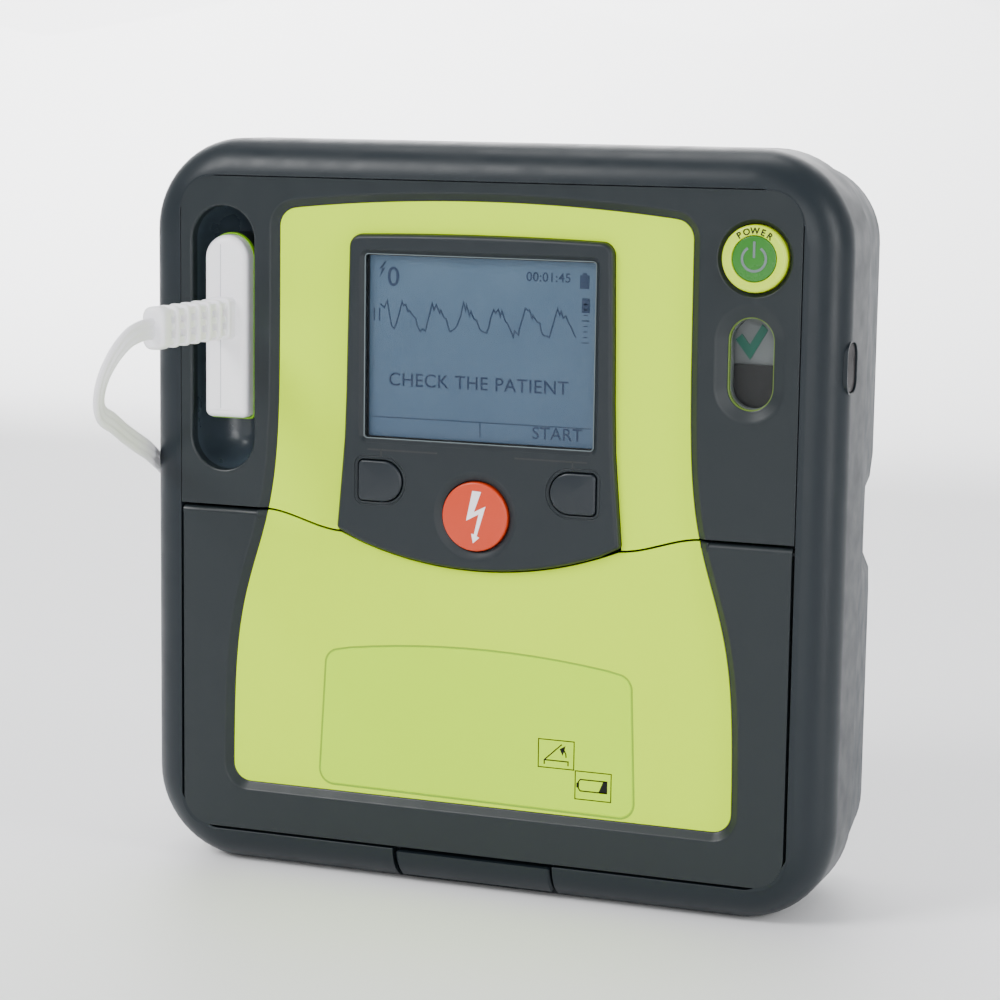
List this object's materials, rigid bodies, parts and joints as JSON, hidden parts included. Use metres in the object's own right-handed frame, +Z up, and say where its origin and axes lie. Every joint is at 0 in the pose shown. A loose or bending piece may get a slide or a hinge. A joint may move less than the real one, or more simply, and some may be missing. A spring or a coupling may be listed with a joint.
{
  "type": "defibrillator",
  "caption": "Portable automated external defibrillator with colour panels, display, shock and power buttons, hinged battery cover and a plug-in electrode lead.",
  "frame": {"origin": "middle of the underside of the case, lead left out", "axes": "+Z up, -Y towards the user, +X to the right as the user sees the face"},
  "size_m": [0.2437, 0.2553, 0.239],
  "materials": {
    "case_plastic": "moulded fine satin texture",
    "plate_plastic": "moulded satin",
    "green_panel": "satin printed overlay",
    "label_film": "satin printed film",
    "dark_key": "satin silicone-like keys",
    "shock_orange": "satin",
    "lime_plastic": "gloss",
    "green_core": "translucent gloss",
    "port_plastic": "gloss",
    "window_glass": "clear hard coated",
    "lens_glass": "clear",
    "lcd": "reflective liquid crystal panel",
    "status_print": "printed card",
    "black_plastic": "matte",
    "rubber_black": "matte",
    "board": "solder mask",
    "chips": "moulded epoxy",
    "capacitor_can": "drawn can",
    "copper_winding": "enamelled copper wire",
    "battery_case": "moulded",
    "gold_contact": "gold plated",
    "steel": "zinc plated",
    "ir_window": "infrared filter",
    "flex": "polyimide film",
    "white_plastic": "satin gloss",
    "cable_jacket": "soft vinyl",
    "tie_fabric": "hook and loop"
  },
  "bodies": {
    "case": {"front_housing": "case_plastic", "rear_housing": "case_plastic", "housing_gasket": "rubber_black", "upper_faceplate": "plate_plastic", "upper_green_panel": "green_panel", "display_bezel": "plate_plastic", "display_window": "window_glass", "lcd_module": "lcd", "electrode_port": "port_plastic", "port_contacts": "gold_contact", "status_gasket": "lime_plastic", "status_lens": "lens_glass", "status_card": "status_print", "keypad_board": "board", "button_domes": "steel", "main_board": "board", "board_components": "chips", "hv_board": "board", "hv_capacitor": "capacitor_can", "hv_transformer": "copper_winding", "battery_bay": "black_plastic", "battery_pack": "battery_case", "battery_contacts": "gold_contact", "cover_seal": "rubber_black", "speaker": "black_plastic", "irda_window": "ir_window", "irda_board": "board", "microphone": "steel", "coin_cell": "steel", "rear_feet": "rubber_black", "case_screws": "steel", "board_screws": "steel", "display_cable": "flex"},
    "cover": {"lower_cover": "plate_plastic", "lower_green_panel": "green_panel", "cover_label": "label_film", "cover_hinge_pins": "steel"},
    "latch": {"latch_lever": "case_plastic", "latch_pins": "steel"},
    "power_button": {"power_button_ring": "lime_plastic", "power_button_core": "green_core"},
    "shock": {"shock_button": "shock_orange"},
    "left_softkey": {"softkey_left": "dark_key"},
    "right_softkey": {"softkey_right": "dark_key"},
    "shutter": {"status_shutter": "black_plastic"},
    "lead": {"plug_body": "white_plastic", "plug_contacts": "gold_contact", "strain_relief": "white_plastic", "cord_tube": "cable_jacket", "cord_coil": "cable_jacket", "cord_tie": "tie_fabric", "pads_connector": "white_plastic"}
  },
  "joints": [
    {"name": "cover_hinge", "type": "hinge", "parent": "case", "child": "cover", "pos_m": [0, -0.034, 0.1176], "axis": [-1, 0, 0], "range_deg": [0, 85]},
    {"name": "latch_turn", "type": "hinge", "parent": "case", "child": "latch", "pos_m": [0, -0.0232, 0.0128], "axis": [1, 0, 0], "range_deg": [0, 15], "stiffness_Nm_per_rad": 0.05},
    {"name": "power_press", "type": "slide", "parent": "case", "child": "power_button", "axis": [0, 1, 0], "range_m": [0, 0.001], "stiffness_N_per_m": 400},
    {"name": "shock_press", "type": "slide", "parent": "case", "child": "shock", "axis": [0, 1, 0], "range_m": [0, 0.001], "stiffness_N_per_m": 400},
    {"name": "left_key_press", "type": "slide", "parent": "case", "child": "left_softkey", "axis": [0, 1, 0], "range_m": [0, 0.001], "stiffness_N_per_m": 400},
    {"name": "right_key_press", "type": "slide", "parent": "case", "child": "right_softkey", "axis": [0, 1, 0], "range_m": [0, 0.001], "stiffness_N_per_m": 400},
    {"name": "status_flip", "type": "slide", "parent": "case", "child": "shutter", "axis": [0, 0, 1], "range_m": [0, 0.013]},
    {"name": "plug_pull", "type": "slide", "parent": "case", "child": "lead", "axis": [0, -1, 0], "range_m": [0, 0.014]}
  ]
}
